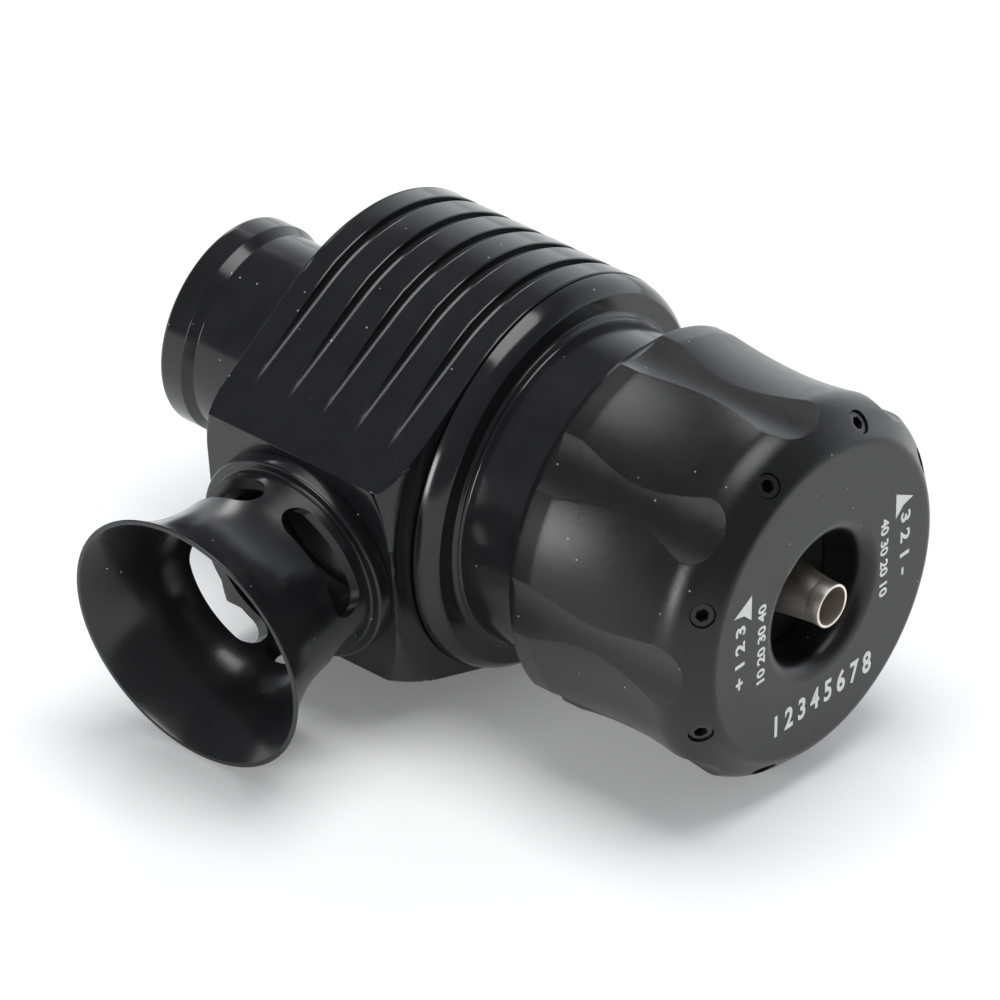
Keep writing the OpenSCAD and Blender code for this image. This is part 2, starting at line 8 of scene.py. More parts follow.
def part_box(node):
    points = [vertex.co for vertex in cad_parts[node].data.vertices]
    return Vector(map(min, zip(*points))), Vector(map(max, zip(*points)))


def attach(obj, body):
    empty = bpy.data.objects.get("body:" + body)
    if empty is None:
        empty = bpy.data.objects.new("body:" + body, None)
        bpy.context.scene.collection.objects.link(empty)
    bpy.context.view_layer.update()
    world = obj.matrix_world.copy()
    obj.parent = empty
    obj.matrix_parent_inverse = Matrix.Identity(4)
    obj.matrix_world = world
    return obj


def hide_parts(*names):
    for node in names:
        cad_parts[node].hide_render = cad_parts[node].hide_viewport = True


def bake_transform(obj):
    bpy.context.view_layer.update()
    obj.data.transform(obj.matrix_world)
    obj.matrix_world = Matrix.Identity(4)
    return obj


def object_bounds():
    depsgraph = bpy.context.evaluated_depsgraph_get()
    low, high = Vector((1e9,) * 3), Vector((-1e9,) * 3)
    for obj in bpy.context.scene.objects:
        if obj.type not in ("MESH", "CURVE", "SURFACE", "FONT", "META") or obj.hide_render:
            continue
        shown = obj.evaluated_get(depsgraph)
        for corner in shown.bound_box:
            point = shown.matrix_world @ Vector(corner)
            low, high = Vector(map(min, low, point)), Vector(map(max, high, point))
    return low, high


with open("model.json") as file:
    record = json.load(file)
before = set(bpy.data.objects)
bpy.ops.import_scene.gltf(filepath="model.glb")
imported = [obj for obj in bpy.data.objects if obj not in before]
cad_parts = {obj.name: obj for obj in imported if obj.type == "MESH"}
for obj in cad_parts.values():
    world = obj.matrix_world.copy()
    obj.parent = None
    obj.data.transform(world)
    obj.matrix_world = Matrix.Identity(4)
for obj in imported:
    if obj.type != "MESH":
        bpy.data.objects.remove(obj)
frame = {"nodes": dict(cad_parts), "record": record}
cad_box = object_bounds()

# View
# A long lens looks down on the valve from the horn's side, past the knob's face. Its angles
# are those of the valve's upright frame, before the valve lies down on its horn's rim.
mm = 0.001
port_axis = 33.0
rest_roll = math.radians(9.683685)
lie_down = Matrix.Rotation(rest_roll, 4, "X")
view_turn = math.radians(42.502)
view_height = math.radians(39.443)
view_roll = math.radians(-4.490)
view_distance = 1428.57
picture_offset = (5.173, -8.715)
lens_length = 435.09

camera_data = bpy.data.cameras.new("camera")
camera_data.lens = lens_length
camera = bpy.data.objects.new("camera", camera_data)
bpy.context.scene.collection.objects.link(camera)
camera.matrix_world = (
    Matrix.Translation((port_axis * mm, 0, 0))
    @ lie_down
    @ Matrix.Rotation(view_turn, 4, "Z")
    @ Matrix.Rotation(math.pi / 2 - view_height, 4, "X")
    @ Matrix.Rotation(view_roll, 4, "Z")
    @ Matrix.Translation(Vector((*picture_offset, view_distance)) * mm)
)
bpy.context.scene.camera = camera
bpy.context.scene.view_settings.view_transform = "Standard"

# Table and studio light
# A white table under the valve, one soft box over it and two small ones low round it.
# The room is pale behind the valve and dark in front and overhead, and the black metal shows it.
table_size = 6.0
bpy.ops.object.select_all(action="DESELECT")
bpy.ops.mesh.primitive_plane_add(size=table_size, location=(0, 0, cad_box[0][2]))
table = bpy.context.object
table.name = "table"
white_table = bpy.data.materials.new("white_table")
white_table.use_nodes = True
table.data.materials.append(white_table)
table_paint = white_table.node_tree.nodes["Principled BSDF"]
table_paint.inputs["Base Color"].default_value = (0.94, 0.94, 0.945, 1)
table_paint.inputs["Roughness"].default_value = 0.7
table_paint.inputs["Specular IOR Level"].default_value = 0.1
table_paint.inputs["Emission Strength"].default_value = 0.16


def new_node(tree, kind, inputs=None, **settings):
    # A shader node with its settings, and its inputs linked or set
    made = tree.nodes.new(kind)
    for name, value in settings.items():
        setattr(made, name, value)
    for name, value in (inputs or {}).items():
        if isinstance(value, bpy.types.NodeSocket):
            tree.links.new(value, made.inputs[name])
        else:
            made.inputs[name].default_value = value
    return made


table_tree = white_table.node_tree
seen = new_node(table_tree, "ShaderNodeLightPath").outputs
either = {0: seen["Is Camera Ray"], 1: seen["Is Glossy Ray"]}
in_view = new_node(table_tree, "ShaderNodeMath", either, operation="MAXIMUM").outputs["Value"]
either = {0: in_view, 1: seen["Is Transmission Ray"]}
in_view = new_node(table_tree, "ShaderNodeMath", either, operation="MAXIMUM").outputs["Value"]
table_tree.links.new(in_view, table_paint.inputs["Emission Color"])

studio = bpy.data.worlds.new("studio")
bpy.context.scene.world = studio
studio.use_nodes = True
room_tree = studio.node_tree
room = room_tree.nodes["Background"]
room.inputs["Color"].default_value = (0.95, 0.97, 1.0, 1)
room_way = new_node(room_tree, "ShaderNodeTexCoord").outputs["Generated"]
back_way = (0, 0.89, -0.46)
depth = new_node(room_tree, "ShaderNodeVectorMath", {0: room_way, 1: back_way}, operation="DOT_PRODUCT")
fade = {
    "Value": depth.outputs["Value"],
    "From Min": 0.2,
    "From Max": 0.8,
    "To Min": 0.2,
    "To Max": 1.7,
}
room_light = new_node(room_tree, "ShaderNodeMapRange", fade).outputs["Result"]
room_tree.links.new(room_light, room.inputs["Strength"])

valve_middle = Vector(((cad_box[0][0] + cad_box[1][0]) / 2, 0, 0))


def soft_box(name, place, width, height, watts):
    # A soft lamp round the valve, turned to it, with its place and size in metres
    lamp = bpy.data.lights.new(name, "AREA")
    lamp.shape = "RECTANGLE"
    lamp.size = width
    lamp.size_y = height
    lamp.energy = watts
    stand = bpy.data.objects.new(name, lamp)
    bpy.context.scene.collection.objects.link(stand)
    stand.location = valve_middle + Vector(place)
    stand.rotation_euler = (-Vector(place)).to_track_quat("-Z", "Y").to_euler()


soft_box("top_box", (0.0, 0.06, 1.0), 0.8, 0.62, 7.4)
soft_box("front_box", (-0.14, -0.93, 0.18), 0.32, 0.36, 4.2)
soft_box("left_box", (-0.7, 0.54, 0.46), 0.22, 0.22, 0.8)

# Hose spigot
# Beaded tube that the hose is clamped on. It is turned from aluminium, anodised gloss black,
# and screwed into the back of the block.
spigot_end = -2.2
block_back = 18.95
inlet_r = 12.5
inlet_bore_r = 10.5
bead_r = 13.25
bead_nose = 0.8
bead_land = 2.8
bead_ramp = 1.3
spigot_thread_r = 11.7
spigot_thread_end = block_back + 3.0
edge_break = 0.3


def arc(centre, radius, start, end, steps=8):
    # Points of an arc in a turned outline, as radius and station, with its angles in degrees
    points = []
    for step in range(steps + 1):
        angle = math.radians(start + (end - start) * step / steps)
        points.append((centre[0] + radius * math.cos(angle), centre[1] + radius * math.sin(angle)))
    return points


def softened(corners, steps=4):
    # Outline of corners, each a radius, a station and the radius of its rounding
    points = []
    for index, (radius, station, bend) in enumerate(corners):
        corner = Vector((radius, station))
        if bend == 0:
            points.append((radius, station))
            continue
        before = (Vector(corners[index - 1][:2]) - corner).normalized()
        after = (Vector(corners[(index + 1) % len(corners)][:2]) - corner).normalized()
        half = before.angle(after) / 2
        middle = corner + (before + after).normalized() * bend / math.sin(half)
        first = corner + before * bend / math.tan(half) - middle
        last = corner + after * bend / math.tan(half) - middle
        start = math.atan2(first.y, first.x)
        sweep = (math.atan2(last.y, last.x) - start + math.pi) % math.tau - math.pi
        points += arc(middle, bend, math.degrees(start), math.degrees(start + sweep), steps)
    return points


def turned(name, outline, steps=192):
    # Spins a closed outline of radii and stations round the main axis
    bpy.ops.object.select_all(action="DESELECT")
    bpy.ops.mesh.primitive_circle_add(vertices=len(outline), radius=1)
    piece = bpy.context.object
    piece.name = name
    piece.data.name = name
    for vertex, (radius, station) in zip(piece.data.vertices, outline):
        vertex.co = Vector((station, 0, radius)) * mm
    bpy.ops.object.mode_set(mode="EDIT")
    bpy.ops.mesh.select_all(action="SELECT")
    bpy.ops.mesh.spin(steps=steps, angle=math.tau, center=(0, 0, 0), axis=(1, 0, 0))
    bpy.ops.mesh.select_all(action="SELECT")
    bpy.ops.mesh.remove_doubles(threshold=0.0005 * mm)
    bpy.ops.mesh.normals_make_consistent(inside=False)
    bpy.ops.object.mode_set(mode="OBJECT")
    return piece


def smoothed(piece, degrees=32):
    # Smooth shading that keeps edges, with flat faces kept flat
    bpy.ops.object.select_all(action="DESELECT")
    piece.select_set(True)
    bpy.context.view_layer.objects.active = piece
    bpy.ops.object.shade_smooth_by_angle(angle=math.radians(degrees))
    weighted = piece.modifiers.new("flat_faces", "WEIGHTED_NORMAL")
    weighted.keep_sharp = True
    bpy.ops.object.modifier_apply(modifier=weighted.name)


spigot_outline = softened(
    [(inlet_bore_r, spigot_end + edge_break, 0), (inlet_bore_r + edge_break, spigot_end, 0)]
    + [(*point, 0) for point in arc((bead_r - bead_nose, spigot_end + bead_nose), bead_nose, -90, 0)]
    + [(bead_r, bead_land / 2, 0.15), (inlet_r, bead_land / 2 + bead_ramp, 0.2)]
    + [(inlet_r, block_back, 0), (spigot_thread_r, block_back, 0)]
    + [(spigot_thread_r, spigot_thread_end, 0), (inlet_bore_r, spigot_thread_end, 0)]
)
hose_spigot = turned("hose_spigot_turned", spigot_outline)
hose_spigot.data.transform(lie_down)
smoothed(hose_spigot)


def effect(name):
    # An empty effect, a shader group that takes a place on the surface and gives one number
    group = bpy.data.node_groups.new(name, "ShaderNodeTree")
    group.interface.new_socket("Vector", in_out="INPUT", socket_type="NodeSocketVector")
    group.interface.new_socket("Value", in_out="OUTPUT", socket_type="NodeSocketFloat")
    place = group.nodes.new("NodeGroupInput").outputs["Vector"]
    return group, place, group.nodes.new("NodeGroupOutput").inputs["Value"]


# Specks of dust, about a fifth of a millimetre across and one or two to the square centimetre
dust, place, value = effect("dust_specks")
cells = new_node(dust, "ShaderNodeTexVoronoi", {"Vector": place, "Scale": 380.0})
speck = {
    "Value": cells.outputs["Distance"],
    "From Min": 0.03,
    "From Max": 0.045,
    "To Min": 1.0,
    "To Max": 0.0,
}
dust.links.new(new_node(dust, "ShaderNodeMapRange", speck).outputs["Result"], value)

# Fine tool marks that run round a turned piece, whose axis is X
turning, place, value = effect("turning_marks")
parts = new_node(turning, "ShaderNodeSeparateXYZ", {"Vector": place}).outputs
across = new_node(turning, "ShaderNodeCombineXYZ", {"X": parts["Y"], "Y": parts["Z"]}).outputs["Vector"]
radius = new_node(turning, "ShaderNodeVectorMath", {0: across}, operation="LENGTH").outputs["Value"]
line = new_node(turning, "ShaderNodeCombineXYZ", {"X": parts["X"], "Y": radius}).outputs["Vector"]
marks = new_node(turning, "ShaderNodeTexNoise", {"Vector": line, "Scale": 2600.0, "Detail": 3.0})
turning.links.new(marks.outputs["Fac"], value)

# The pitted grain that blasting or moulding leaves
grain, place, value = effect("fine_grain")
fine = {"Vector": place, "Scale": 6500.0, "Detail": 2.0, "Roughness": 0.6}
pits = new_node(grain, "ShaderNodeTexNoise", fine)
grain.links.new(pits.outputs["Fac"], value)


def finish(name, colour, shade, metallic, gloss, relief, depth, dusty=0.0, axis=None):
    # A material whose colour and gloss drift in soft clouds, with a relief and perhaps dust
    material = bpy.data.materials.new(name)
    material.use_nodes = True
    tree = material.node_tree
    place = new_node(tree, "ShaderNodeTexCoord").outputs["Object"]
    drift = {"Vector": place, "Scale": 240.0, "Detail": 4.0}
    clouds = new_node(tree, "ShaderNodeTexNoise", drift).outputs["Fac"]
    tints = {0: clouds, 6: (*colour, 1), 7: (*shade, 1)}
    surface = new_node(tree, "ShaderNodeMix", tints, data_type="RGBA").outputs[2]
    if dusty:
        specks = new_node(tree, "ShaderNodeGroup", {"Vector": place}, node_tree=dust).outputs["Value"]
        dusted = {0: specks, 6: surface, 7: (dusty, dusty, dusty, 1)}
        surface = new_node(tree, "ShaderNodeMix", dusted, data_type="RGBA").outputs[2]
    if axis:
        turn = {"Vector": place, "Location": axis.to_translation(), "Rotation": axis.to_euler()}
        place = new_node(tree, "ShaderNodeMapping", turn, vector_type="TEXTURE").outputs["Vector"]
    dull = {
        "Value": clouds,
        "From Min": 0.3,
        "From Max": 0.7,
        "To Min": gloss[0],
        "To Max": gloss[1],
    }
    rough = new_node(tree, "ShaderNodeMapRange", dull).outputs["Result"]
    marks = new_node(tree, "ShaderNodeGroup", {"Vector": place}, node_tree=relief).outputs["Value"]
    bump = new_node(tree, "ShaderNodeBump", {"Height": marks, "Distance": depth * mm, "Strength": 1.0})
    shader = tree.nodes["Principled BSDF"]
    shader.inputs["Metallic"].default_value = metallic
    tree.links.new(surface, shader.inputs["Base Color"])
    tree.links.new(rough, shader.inputs["Roughness"])
    tree.links.new(bump.outputs["Normal"], shader.inputs["Normal"])
    return material


gloss_black = finish(
    "gloss_black_anodising", (0.008, 0.008, 0.009), (0.013, 0.013, 0.014),
    0.0, (0.13, 0.19), turning, 0.0006, 0.5,
)
hose_spigot.data.materials.append(gloss_black)
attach(hose_spigot, "valve")
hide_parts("hose_spigot")

# Block
# The valve's body, a turned and milled aluminium block in gloss black. Five grooves go round it
# and run out on the flanks beside the flat port face, and its corners are turned round.
body_r = 25.0
block_front = 47.05
seat = 23.15
cylinder_r = 16.0
barrel_thread_r = 19.45
barrel_thread_start = 42.8
barrel_seal_r = 20.9
barrel_seal_start = 45.65
port_face = 28.0
port_face_half = 14.3
groove_pitch = 5.1
groove_depth = 1.2
groove_nose = 0.7
groove_runout = 22.8
back_flat_r = 28.8
front_flat_r = 27.2
corner_r = 5.0
edge_round = 0.2
groove_crease = 0.12
corner_crease = 0.3

corner_angle = math.atan2(port_face_half, -port_face)
flank_start = corner_angle - math.acos(body_r / math.hypot(port_face, port_face_half))
runout_height = (body_r + groove_runout * math.cos(flank_start)) / math.sin(flank_start)
floor_r = body_r - groove_depth
floor_leave = math.atan2(runout_height, -groove_runout)
floor_leave -= math.acos(floor_r / math.hypot(groove_runout, runout_height))

# The block's section, one point for each column of the mesh: upper half, then its mirror
half_section = []
round_columns = 96
for column in range(1, round_columns):
    angle = flank_start * column / round_columns
    half_section.append((body_r * math.cos(angle), body_r * math.sin(angle)))
flank_columns = 60
flank_foot = Vector((body_r * math.cos(flank_start), body_r * math.sin(flank_start)))
port_corner = Vector((-port_face, port_face_half))
flank_way = port_corner - flank_foot
corner_turn = math.pi - abs(flank_way.angle(Vector((0, -1))))
corner_cut = edge_round / math.tan(corner_turn / 2)
flank_end = port_corner - flank_way.normalized() * corner_cut
for column in range(flank_columns + 1):
    half_section.append(tuple(flank_foot.lerp(flank_end, column / flank_columns)))
corner_columns = 4
face_start = Vector((-port_face, port_face_half - corner_cut))
for column in range(1, corner_columns):
    blend = column / corner_columns
    curve = flank_end * (1 - blend) ** 2 + port_corner * 2 * blend * (1 - blend) + face_start * blend ** 2
    half_section.append(tuple(curve))
face_columns = 16
for column in range(face_columns):
    half_section.append((-port_face, face_start.y * (1 - column / face_columns)))
block_section = [(body_r, 0.0)] + half_section + [(-port_face, 0.0)]
block_section += [(y, -z) for y, z in reversed(half_section)]

# The turned outline with its grooves, as depths below the round body
groove_edge = [(-1.0, 0), (-0.92, 0), (-0.81, 0.035), (-0.735, 0.105)]
groove_edge += [(-groove_nose, 0.2), (-groove_nose, 0.32)]
nose_steps = 16
groove_rows = list(groove_edge)
for step in range(nose_steps + 1):
    angle = math.pi * step / nose_steps
    nose_depth = groove_depth - groove_nose + groove_nose * math.sin(angle)
    groove_rows.append((-groove_nose * math.cos(angle), nose_depth))
groove_rows += [(-across, depth) for across, depth in reversed(groove_edge)]
edge_steps = 3
edge_angles = [math.pi / 2 * step / edge_steps for step in range(edge_steps + 1)]
edge_rows = [(edge_round * (1 - math.sin(a)), edge_round * (1 - math.cos(a))) for a in edge_angles]
outer_rows = [(depth, block_back + along) for depth, along in edge_rows]
outer_rows += [(0, block_back + along) for along in (0.3, 0.42, 0.55, 0.7, 0.9, 1.2, 1.7, 2.4)]
for groove in range(-2, 3):
    outer_rows += [(depth, port_axis + groove * groove_pitch + across) for across, depth in groove_rows]
outer_rows += [(0, block_front - along / 10) for along in range(27, 3, -2)]
outer_rows += [(along, block_front - depth) for depth, along in edge_rows]
face_ring_r = 24.0
fit_clear = 0.05
block_outline = (
    [(inlet_bore_r, seat), (inlet_bore_r, spigot_thread_end + fit_clear)]
    + [(spigot_thread_r + fit_clear, spigot_thread_end + fit_clear)]
    + [(spigot_thread_r + fit_clear, block_back), (face_ring_r, block_back)]
    + [(body_r - depth, station) for depth, station in outer_rows]
    + [(face_ring_r, block_front), (barrel_seal_r, block_front), (barrel_seal_r, barrel_seal_start)]
    + [(barrel_thread_r, barrel_seal_start), (barrel_thread_r, barrel_thread_start)]
    + [(cylinder_r, barrel_thread_start), (cylinder_r, seat)]
)


def soft_min(a, b, blend):
    # The smaller of two radii, with the crease between them rounded
    share = max(blend - abs(a - b), 0) / blend
    return min(a, b) - share * share * blend / 4


def blank_radius(station):
    # Radius of the round-cornered blank that the block's ends are turned to
    from_back = min(max(station - block_back, 0), corner_r)
    from_front = min(max(block_front - station, 0), corner_r)
    back = back_flat_r + math.sqrt(corner_r ** 2 - (corner_r - from_back) ** 2)
    front = front_flat_r + math.sqrt(corner_r ** 2 - (corner_r - from_front) ** 2)
    return min(back, front)


block = turned("block_milled", block_outline, len(block_section))
for vertex in block.data.vertices:
    station = vertex.co.x / mm
    radius = math.hypot(vertex.co.y, vertex.co.z) / mm
    turn = math.atan2(vertex.co.z, vertex.co.y) % math.tau
    y, z = block_section[round(turn / math.tau * len(block_section)) % len(block_section)]
    surface = math.hypot(y, z)
    depth = body_r - radius
    on_end = min(station - block_back, block_front - station) < 2 * edge_round
    if radius < barrel_seal_r + 1 or on_end and radius < face_ring_r + edge_round / 2:
        reach = radius
    else:
        reach = surface - depth
        if depth > 0 and not on_end:
            lean = math.cos(max(abs(math.atan2(z, y)) - floor_leave, 0))
            reach = soft_min(surface, (floor_r + groove_depth - depth) / lean, groove_crease)
        reach = soft_min(reach, blank_radius(station), corner_crease)
    vertex.co = Vector((station, y * reach / surface, z * reach / surface)) * mm


def cut(piece, tool):
    # Takes a tool's shape out of a piece
    bpy.ops.object.select_all(action="DESELECT")
    piece.select_set(True)
    bpy.context.view_layer.objects.active = piece
    difference = piece.modifiers.new("cut", "BOOLEAN")
    difference.operation = "DIFFERENCE"
    difference.solver = "EXACT"
    difference.object = tool
    bpy.ops.object.modifier_apply(modifier=difference.name)
    bpy.data.objects.remove(tool)


def bar(radius, start, end, turn, sides=128):
    # A bar along the main axis, turned to its place
    bpy.ops.object.select_all(action="DESELECT")
    bpy.ops.mesh.primitive_cylinder_add(vertices=sides, radius=radius * mm, depth=(end - start) * mm)
    tool = bpy.context.object
    tool.data.transform(Matrix.Rotation(math.pi / 2, 4, "Y"))
    tool.data.transform(turn @ Matrix.Translation(((start + end) / 2 * mm, 0, 0)))
    return tool


def joined(pieces):
    # Several pieces as one mesh
    bpy.ops.object.select_all(action="DESELECT")
    for piece in pieces:
        piece.select_set(True)
    bpy.context.view_layer.objects.active = pieces[0]
    bpy.ops.object.join()
    return pieces[0]


to_horn = Matrix.Translation((port_axis * mm, 0, 0)) @ Matrix.Rotation(-math.pi / 2, 4, "Z")
horn_thread_r = 11.2
horn_thread_len = 7.0
port_r = 8.8
horn_seal_r = 12.7
horn_seal_depth = 1.4
drill_start = 8.0
drill_end = 40.0
cut(block, bar(port_r, drill_start, drill_end, to_horn))
cut(block, bar(horn_thread_r + fit_clear, port_face - horn_thread_len - fit_clear, drill_end, to_horn))
cut(block, bar(horn_seal_r, port_face - horn_seal_depth, drill_end, to_horn))
block.data.transform(lie_down)
smoothed(block)
block.data.materials.append(gloss_black)
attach(block, "valve")
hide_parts("valve_body")

# Barrel
# The cylinder that the knob is screwed on, turned from aluminium in gloss black. Its rounded
# flange closes the block's front with a thin seam, and its neck runs on under the knob.
flange_r = 24.9
seam_w = 0.25
seam_depth = 0.5
flange_start = block_front + seam_w
flange_front = 50.0
shoulder_r = 4.2
shoulder_drop = 1.6
fillet_r = 0.42
fillet_steps = ((0.95, 0.42, 270, 195), (0.42, 0.92, 255, 180))
neck_r = 20.4
barrel_foot_r = 19.4
barrel_foot = block_front - 4.2
barrel_end = 75.9
stop_groove_r = 16.95
stop_groove_start = 60.4
stop_groove_end = 61.7
pin_at = 73.6
pin_hole_r = 1.05
pin_hole_start = 14.5
shoulder_foot = Vector((flange_r, flange_start))
shoulder_top = Vector((flange_r - shoulder_drop, flange_front))
shoulder_way = shoulder_top - shoulder_foot
shoulder_side = Vector((-shoulder_way.y, shoulder_way.x)).normalized()
shoulder_centre = (shoulder_foot + shoulder_top) / 2
shoulder_centre += shoulder_side * math.sqrt(shoulder_r ** 2 - shoulder_way.length_squared / 4)
foot_way = shoulder_foot - shoulder_centre
top_way = shoulder_top - shoulder_centre
shoulder_low = math.degrees(math.atan2(foot_way.y, foot_way.x)) + 0.6
shoulder_high = math.degrees(math.atan2(top_way.y, top_way.x)) - 0.8
fillet = []
for out, along, start, end in fillet_steps:
    fillet += arc((neck_r + out, flange_front + along), fillet_r, start, end)
barrel_outline = softened(
    [(cylinder_r, barrel_foot, 0), (barrel_foot_r, barrel_foot, 0), (barrel_foot_r, block_front, 0)]
    + [(flange_r - seam_depth, block_front, 0), (flange_r - seam_depth, flange_start, 0)]
    + [(flange_r - 0.08, flange_start, 0)]
    + [(*point, 0) for point in arc(shoulder_centre, shoulder_r, shoulder_low, shoulder_high, 12)]
    + [(flange_r - shoulder_drop - 0.1, flange_front, 0)]
    + [(*point, 0) for point in fillet]
    + [(neck_r, barrel_end - edge_break, 0), (neck_r - edge_break, barrel_end, 0)]
    + [(cylinder_r + edge_break, barrel_end, 0), (cylinder_r, barrel_end - edge_break, 0)]
    + [(cylinder_r, stop_groove_end, 0), (stop_groove_r, stop_groove_end, 0)]
    + [(stop_groove_r, stop_groove_start, 0), (cylinder_r, stop_groove_start, 0)]
)
barrel = turned("barrel_turned", barrel_outline)
pin_way = Matrix.Translation((pin_at * mm, 0, 0)) @ Matrix.Rotation(math.pi / 2, 4, "Z")
cut(barrel, bar(pin_hole_r, pin_hole_start, neck_r + 1, pin_way, 32))
barrel.data.transform(lie_down)
smoothed(barrel)
barrel.data.materials.append(gloss_black)
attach(barrel, "valve")
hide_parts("barrel")

# Horn
# Flared outlet, spun and turned from aluminium and anodised black. Its threaded foot goes into
# the port, its base ring sits on the port face, and four long slots let air in round its neck.
ring_r = 13.5
ring_front = port_face + 2.1
horn_neck_r = 12.2
throat_r = 10.7
horn_bore_r = 9.6
flare_start = port_face + 7.5
horn_mouth = port_face + 21.0
mouth_r = 17.0
lip_t = 0.7
slot_half = 5.05
slot_r = 2.2
slot_at = port_face + 6.0
slot_angle = math.radians(37)


def flare(neck, rim, steps=24):
    # Arc that leaves the horn's neck straight and reaches the rim
    run = horn_mouth - flare_start
    rise = rim - neck
    bend = (run * run + rise * rise) / (2 * rise)
    sweep = math.degrees(math.asin(run / bend))
    return arc((neck + bend, flare_start), bend, 180, 180 - sweep, steps)


horn_outline = softened(
    [(horn_bore_r, port_face - horn_thread_len, 0), (horn_thread_r, port_face - horn_thread_len, 0)]
    + [(horn_thread_r, port_face, 0)]
    + [(ring_r, port_face, 0.12), (ring_r, ring_front, 0.35), (horn_neck_r, ring_front, 0.3)]
    + [(*point, 0) for point in flare(horn_neck_r, mouth_r)[:-1]]
    + [(mouth_r, horn_mouth, 0.12), (mouth_r - lip_t, horn_mouth, 0.12)]
    + [(*point, 0) for point in reversed(flare(throat_r, mouth_r - lip_t)[:-1])]
    + [(throat_r, ring_front + throat_r - horn_bore_r, 0), (horn_bore_r, ring_front, 0)]
)
horn = turned("horn_turned", horn_outline, 224)


def slot_cutter(turn):
    # An obround bar that points out from the horn's axis
    bpy.ops.object.select_all(action="DESELECT")
    bpy.ops.mesh.primitive_circle_add(vertices=48, radius=slot_r * mm, fill_type="NGON")
    tool = bpy.context.object
    for vertex in tool.data.vertices:
        vertex.co.y += math.copysign(slot_half, vertex.co.y) * mm
    bpy.ops.object.mode_set(mode="EDIT")
    bpy.ops.mesh.select_all(action="SELECT")
    bpy.ops.mesh.extrude_region_move(TRANSFORM_OT_translate={"value": (0, 0, horn_neck_r * mm)})
    bpy.ops.mesh.select_all(action="SELECT")
    bpy.ops.mesh.normals_make_consistent(inside=False)
    bpy.ops.object.mode_set(mode="OBJECT")
    tool.data.transform(
        Matrix.Rotation(turn, 4, "X")
        @ Matrix.Translation((slot_at * mm, 2 * slot_r * mm, 0))
        @ Matrix.Rotation(-math.pi / 2, 4, "X")
    )
    return tool


cut(horn, joined([slot_cutter(slot_angle + index * math.pi / 2) for index in range(4)]))
horn.data.transform(lie_down @ to_horn)
smoothed(horn)
satin_black = finish(
    "satin_black_anodising", (0.008, 0.008, 0.009), (0.014, 0.014, 0.015),
    0.0, (0.17, 0.26), turning, 0.006, 0.5, lie_down @ to_horn,
)
horn.data.materials.append(satin_black)
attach(horn, "valve")
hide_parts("horn")

# Knob
# Fluted adjuster knob, turned and milled from aluminium, bead-blasted and anodised black. It is
# screwed on the barrel's neck, with a rounded recess in its face for the vacuum nipple.
knob_bore_r = 20.45
skirt_edge = 59.3
knob_face = 88.4
ceiling = 81.6
waist_r = 22.9
skirt_r = 23.7
skirt_chamfer_h = 1.8
skirt_chamfer_len = 1.7
skirt_rows = [skirt_edge + 2.3 + 0.6 * step for step in range(4)]
waist_at = 72.5
lip_r = 4.5
lip_centre = (19.4, 82.8)
face_round = 1.5
recess_r = 8.2
recess_round = 2.2
flute_r = 9.7
flute_centre_r = 32.35
first_screw = math.radians(17)
lip_gap = lip_centre[1] - waist_at
lip_drop = waist_r - lip_centre[0]
waist_bend = (lip_gap ** 2 + lip_drop ** 2 - lip_r ** 2) / (2 * (lip_centre[0] + lip_r - waist_r))
skirt_turn = math.degrees(math.acos((waist_bend - (skirt_r - waist_r)) / waist_bend))
lip_turn = math.degrees(math.atan2(lip_gap, waist_bend + lip_drop))
lip_end_r = lip_centre[0] + lip_r * math.sqrt(0.5)
face_r = lip_end_r - (knob_face - lip_centre[1] - lip_r * math.sqrt(0.5))
cone_len = lip_end_r - face_r - face_round * math.tan(math.pi / 8) * math.sqrt(0.5)
cone_start = lip_centre[1] + lip_r * math.sqrt(0.5)
cone_run = [(lip_end_r - cone_len * step / 6, cone_start + cone_len * step / 6, 0) for step in range(1, 6)]
waist_centre = (waist_r + waist_bend, waist_at)
waist = arc(waist_centre, waist_bend, 180 + skirt_turn, 180 - lip_turn, 36)
recess_edge = arc((recess_r + recess_round, knob_face - recess_round), recess_round, 90, 180, 16)
knob_outline = softened(
    [(knob_bore_r, skirt_edge, 0.2), (skirt_r - skirt_chamfer_h, skirt_edge, 0.12)]
    + [(skirt_r, skirt_edge + skirt_chamfer_len, 0.15)]
    + [(skirt_r, station, 0) for station in skirt_rows]
    + [(*point, 0) for point in waist]
    + [(*point, 0) for point in arc(lip_centre, lip_r, -lip_turn, 45, 20)[1:]]
    + cone_run
    + [(face_r, knob_face, face_round)]
    + [(*point, 0) for point in recess_edge]
    + [(recess_r, ceiling, 0), (knob_bore_r, ceiling, 0)]
)
